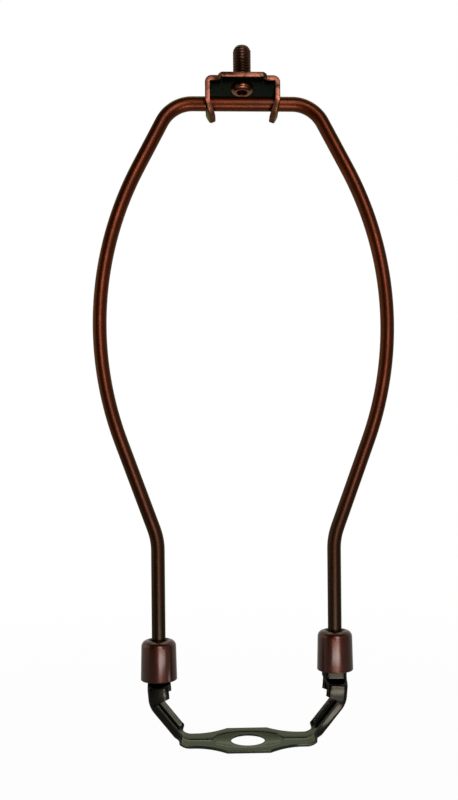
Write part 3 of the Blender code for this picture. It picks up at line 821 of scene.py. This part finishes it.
def add_world():
    """The world: a white backdrop, and a dim room in front of it."""
    world = bpy.data.worlds.new("studio")
    bpy.context.scene.world = world
    world.use_nodes = True
    tree = world.node_tree
    nodes, links = tree.nodes, tree.links
    nodes.clear()
    output = nodes.new("ShaderNodeOutputWorld")
    pick = nodes.new("ShaderNodeMixShader")
    place = nodes.new("ShaderNodeTexCoord")
    room = nodes.new("ShaderNodeBackground")
    room.inputs["Color"].default_value = (*ROOM_COLOUR, 1.0)
    room.inputs["Strength"].default_value = ROOM_STRENGTH
    white = nodes.new("ShaderNodeBackground")
    white.inputs["Color"].default_value = (*WHITE, 1.0)
    white.inputs["Strength"].default_value = 1.0
    links.new(white_share(tree, behind_share(tree, place.outputs["Generated"])), pick.inputs["Fac"])
    links.new(room.outputs["Background"], pick.inputs[1])
    links.new(white.outputs["Background"], pick.inputs[2])
    links.new(pick.outputs["Shader"], output.inputs["Surface"])


def add_floor():
    """A floor just below the saddle."""
    half = FLOOR_HALF
    corners = [(-half, -half, 0.0), (half, -half, 0.0), (half, half, 0.0), (-half, half, 0.0)]
    mesh = bpy.data.meshes.new("floor")
    mesh.from_pydata(corners, [], [(0, 1, 2, 3)])
    mesh.materials.append(floor_material())
    floor = bpy.data.objects.new("floor", mesh)
    floor.location.z = -FLOOR_GAP
    bpy.context.collection.objects.link(floor)


def math_node(tree, operation, *values):
    """A Math node's output, from the outputs of other nodes."""
    node = tree.nodes.new("ShaderNodeMath")
    node.operation = operation
    for socket, value in zip(node.inputs, values):
        tree.links.new(value, socket)
    return node.outputs["Value"]


def range_node(tree, value, source, target=(0.0, 1.0), gentle=False):
    """A value carried from one range to another, and held at the ends."""
    node = tree.nodes.new("ShaderNodeMapRange")
    node.interpolation_type = "SMOOTHSTEP" if gentle else "LINEAR"
    for name, number in zip(("From Min", "From Max", "To Min", "To Max"), (*source, *target)):
        node.inputs[name].default_value = number
    tree.links.new(value, node.inputs["Value"])
    return node.outputs["Result"]


def axis_node(tree, vector, axis):
    """One coordinate of a vector."""
    node = tree.nodes.new("ShaderNodeSeparateXYZ")
    tree.links.new(vector, node.inputs["Vector"])
    return node.outputs[axis]


def noise_node(tree, place, scale, detail, roughness):
    """A noise texture's value in the piece's own coordinates."""
    node = tree.nodes.new("ShaderNodeTexNoise")
    node.inputs["Scale"].default_value = scale
    node.inputs["Detail"].default_value = detail
    node.inputs["Roughness"].default_value = roughness
    tree.links.new(place, node.inputs["Vector"])
    return node.outputs["Fac"]


def tint_node(tree, share, low, high):
    """A colour between two others; each is a colour or another node's output."""
    node = tree.nodes.new("ShaderNodeMix")
    node.data_type = "RGBA"
    for name, colour in (("A", low), ("B", high)):
        if isinstance(colour, tuple):
            node.inputs[name].default_value = (*colour, 1.0)
        else:
            tree.links.new(colour, node.inputs[name])
    tree.links.new(share, node.inputs["Factor"])
    return node.outputs["Result"]


def behind_share(tree, direction):
    """How far a direction or place lies behind the object, from 0 in front of it to 1 behind it."""
    return range_node(tree, axis_node(tree, direction, "Y"), WHITE_REACH, gentle=True)


def white_share(tree, behind):
    """Share of white: all of it for the camera, and in metal and glass as much as lies behind the object."""
    rays = tree.nodes.new("ShaderNodeLightPath").outputs
    bounced = math_node(tree, "MAXIMUM", rays["Is Glossy Ray"], rays["Is Transmission Ray"])
    mirrored = math_node(tree, "MULTIPLY", bounced, behind)
    return math_node(tree, "MAXIMUM", rays["Is Camera Ray"], mirrored)


def floor_material():
    """A sheet that shows the backdrop's white, over a grey skin that takes a faint shadow near the harp."""
    material = bpy.data.materials.new("sheet")
    material.use_nodes = True
    tree = material.node_tree
    nodes, links = tree.nodes, tree.links
    nodes.clear()
    output = nodes.new("ShaderNodeOutputMaterial")
    place = nodes.new("ShaderNodeNewGeometry")
    sheet = nodes.new("ShaderNodeBsdfPrincipled")
    sheet.inputs["Base Color"].default_value = (*FLOOR_GREY, 1.0)
    sheet.inputs["Roughness"].default_value = FLOOR_ROUGHNESS
    glow = nodes.new("ShaderNodeEmission")
    glow.inputs["Color"].default_value = (*WHITE, 1.0)
    glow.inputs["Strength"].default_value = 1.0
    reach = nodes.new("ShaderNodeVectorMath")
    reach.operation = "LENGTH"
    links.new(place.outputs["Position"], reach.inputs[0])
    whiteness = range_node(tree, reach.outputs["Value"], FLOOR_REACH, FLOOR_WHITENESS, gentle=True)
    seen = white_share(tree, behind_share(tree, place.outputs["Position"]))
    pick = nodes.new("ShaderNodeMixShader")
    links.new(math_node(tree, "MULTIPLY", seen, whiteness), pick.inputs["Fac"])
    links.new(sheet.outputs["BSDF"], pick.inputs[1])
    links.new(glow.outputs["Emission"], pick.inputs[2])
    links.new(pick.outputs["Shader"], output.inputs["Surface"])
    return material


def lower_end(tree, place, colour, low_colour, start, end):
    """The colour, with another one below a height of the piece."""
    share = range_node(tree, axis_node(tree, place, "Z"), (start, end), gentle=True)
    return tint_node(tree, share, low_colour, colour)


def wear_and_highlight(tree, place, normal, colour, bared_and_highlight_colour):
    """The colour, bared to copper in spots on faces square to Y: partly rubbed metal, partly a painted
    highlight.
    """
    facing = math_node(tree, "ABSOLUTE", axis_node(tree, normal, "Y"))
    square = range_node(tree, facing, WEAR_AND_HIGHLIGHT_FACING)
    spots = range_node(tree, noise_node(tree, place, WEAR_AND_HIGHLIGHT_SCALE, detail=4.0, roughness=0.6), WEAR_AND_HIGHLIGHT_REACH)
    return tint_node(tree, math_node(tree, "MULTIPLY", square, spots), colour, bared_and_highlight_colour)


def lacquer(name, core, patch, edge, roughness, coat, speckle, grain, coat_ior=1.5, low=None, bared_copper_and_highlight=None):
    """Antique lacquer over copper, with broad dark patches and a fine speckle."""
    material = bpy.data.materials.new(name)
    material.use_nodes = True
    tree = material.node_tree
    shader = tree.nodes["Principled BSDF"]
    shader.inputs["Metallic"].default_value = 1.0
    shader.inputs["Specular Tint"].default_value = (*edge, 1.0)
    shader.inputs["Coat Weight"].default_value = coat
    shader.inputs["Coat Roughness"].default_value = COAT_ROUGHNESS
    shader.inputs["Coat IOR"].default_value = coat_ior

    coordinates = tree.nodes.new("ShaderNodeTexCoord")
    place = coordinates.outputs["Object"]
    fine = noise_node(tree, place, SPECKLE_SCALE, detail=3.0, roughness=0.5)
    broad = noise_node(tree, place, PATCH_SCALE, detail=5.0, roughness=0.6)
    colour = tint_node(tree, range_node(tree, broad, PATCH_REACH), core, patch)
    # a lower end of another colour: on the bow's legs this is painted shade, on the stud's head a painted
    # reflection
    if low:
        colour = lower_end(tree, place, colour, *low)
    # copper on faces square to Y: partly rubbed metal, partly a painted highlight
    if bared_copper_and_highlight:
        colour = wear_and_highlight(tree, place, coordinates.outputs["Normal"], colour, bared_copper_and_highlight)
    speckled = tree.nodes.new("ShaderNodeVectorMath")
    speckled.operation = "SCALE"
    tree.links.new(colour, speckled.inputs["Vector"])
    brightness = range_node(tree, fine, NOISE_REACH, (1.0 - speckle, 1.0 + speckle))
    tree.links.new(brightness, speckled.inputs["Scale"])
    tree.links.new(speckled.outputs["Vector"], shader.inputs["Base Color"])
    least, most = ROUGHNESS_SPREAD
    gloss = range_node(tree, broad, NOISE_REACH, (roughness + least, roughness + most))
    tree.links.new(gloss, shader.inputs["Roughness"])

    bump = tree.nodes.new("ShaderNodeBump")
    bump.inputs["Strength"].default_value = grain
    bump.inputs["Distance"].default_value = GRAIN_DEPTH
    tree.links.new(fine, bump.inputs["Height"])
    tree.links.new(bump.outputs["Normal"], shader.inputs["Normal"])
    return material


def add_pieces():
    """Every piece of the harp, riding on its body in place of its solid."""
    materials = {slot: lacquer(slot, **finish) for slot, finish in FINISHES.items()}
    pieces = [
        (make_bow(), "harp", "harp_wire", "bow_lacquer"),
        (make_saddle(), "harp", "saddle", "saddle_bronze"),
        (make_ferrule("cup_left", "ferrule_left", -1), "left_ferrule", "ferrule_left", "ferrule_lacquer"),
        (make_ferrule("cup_right", "ferrule_right", 1), "right_ferrule", "ferrule_right", "ferrule_lacquer"),
        (make_clip(), "clip", "finial_clip", "clip_copper"),
        (make_stud(), "clip", "finial_stud", "stud_bronze"),
    ]
    for piece, body, node, slot in pieces:
        piece.data.materials.clear()
        piece.data.materials.append(materials[slot])
        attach(piece, body)
        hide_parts(node)


def main():
    """The whole scene."""
    bpy.context.scene.view_settings.view_transform = "Standard"
    add_camera()
    add_lamps()
    add_world()
    add_floor()
    add_pieces()


main()
